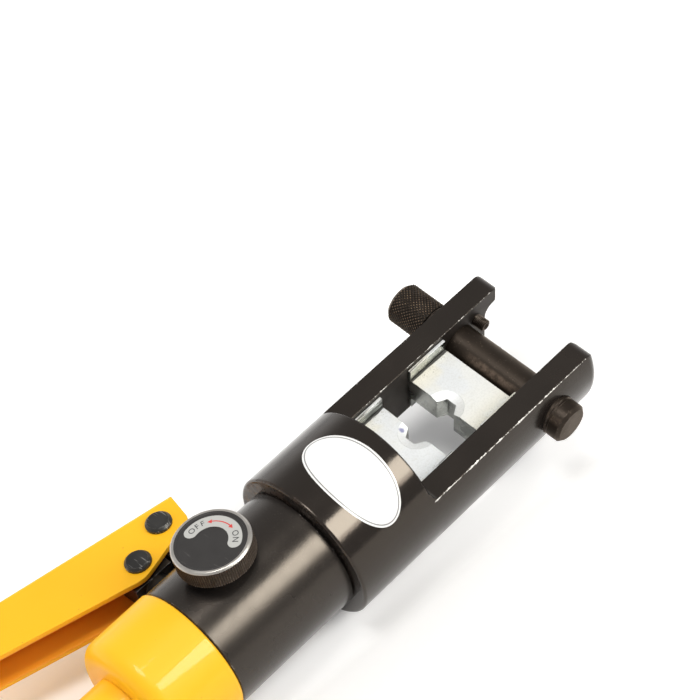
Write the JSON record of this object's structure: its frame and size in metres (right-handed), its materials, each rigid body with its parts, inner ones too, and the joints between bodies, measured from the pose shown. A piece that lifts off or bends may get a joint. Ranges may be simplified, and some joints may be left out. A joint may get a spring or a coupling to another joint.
{
  "type": "hydraulic hand crimping tool",
  "caption": "Hydraulic hand crimping tool: fork head with pin-locked hexagon dies, pump body with release valve knob, yellow reservoir handle and channel pump lever.",
  "frame": {"origin": "crimp centre: the middle of the fixed die's working face, on the tool's axis", "axes": "+X along the tool to the fork tips, +Z along the lever's hinge axis on the valve knob's side, +Y to the lever; the fork head is turned 14 degrees about X from the lever's plane"},
  "size_m": [0.5425, 0.1948, 0.0838],
  "materials": {
    "black_paint": "gloss enamel over a machined casting",
    "body_paint": "satin black",
    "yellow_paint": "gloss enamel",
    "pin_oxide": "brown-black oxide",
    "zinc_plate": "bright zinc plate",
    "machined_steel": "ground",
    "rubber": "matte",
    "grip_rubber": "matte",
    "bronze": "turned",
    "rivet_black": "semi-gloss",
    "knob_steel": "dark oxide with a bright turned chamfer",
    "knob_face": "satin"
  },
  "bodies": {
    "frame": {"head_fork": "black_paint", "front_bush": "bronze", "rod_wiper": "rubber", "upper_die": "zinc_plate", "stop_stud": "pin_oxide", "cylinder_body": "body_paint", "body_seal": "rubber", "pivot_bracket": "body_paint", "pump_gland": "machined_steel", "plunger_seal": "rubber", "suction_seat": "bronze", "suction_ball": "machined_steel", "delivery_ball": "machined_steel", "delivery_spring": "machined_steel", "delivery_plug": "bronze", "relief_ball": "machined_steel", "relief_spring": "machined_steel", "relief_screw": "rivet_black", "valve_bush": "knob_steel", "release_ball": "machined_steel", "reservoir_cap": "yellow_paint", "oil_bladder": "rubber", "handle_tube": "yellow_paint", "handle_plug": "machined_steel", "handle_grip": "grip_rubber", "return_spring": "machined_steel"},
    "ram": {"ram_piston": "machined_steel", "piston_seal": "rubber", "die_peg": "machined_steel", "lower_die": "zinc_plate"},
    "lock_pin": {"lock_pin": "pin_oxide", "pin_grip": "pin_oxide"},
    "lever": {"lever_channel": "yellow_paint", "lever_tube": "yellow_paint", "lever_grip": "grip_rubber", "pivot_rivet": "rivet_black", "plunger_rivet": "rivet_black"},
    "plunger": {"pump_plunger": "machined_steel"},
    "release_valve": {"valve_knob": "knob_steel", "knob_plate": "knob_face", "valve_stem": "machined_steel"}
  },
  "joints": [
    {"name": "ram_slide", "type": "slide", "parent": "frame", "child": "ram", "axis": [1, 0, 0], "range_m": [0, 0.019], "stiffness_N_per_m": 2500, "springref_m": -0.008, "deforming": ["return_spring"]},
    {"name": "lever_hinge", "type": "hinge", "parent": "frame", "child": "lever", "pos_m": [-0.126, 0.0575, 0], "axis": [0, 0, 1], "range_deg": [-35, 12]},
    {"name": "plunger_slide", "type": "slide", "parent": "frame", "child": "plunger", "axis": [0, 1, 0], "range_m": [-0.0048, 0.0136]},
    {"name": "valve_turn", "type": "hinge", "parent": "frame", "child": "release_valve", "pos_m": [-0.1338, 0, 0.041], "axis": [0, 0, 1], "range_deg": [0, 180]},
    {"name": "pin_pull", "type": "slide", "parent": "frame", "child": "lock_pin", "axis": [0, 0.9703, 0.2419], "range_m": [0, 0.09]}
  ],
  "couplings": [
    {"joint": "plunger_slide", "follows": "lever_hinge", "m_per_rad": -0.0216}
  ]
}
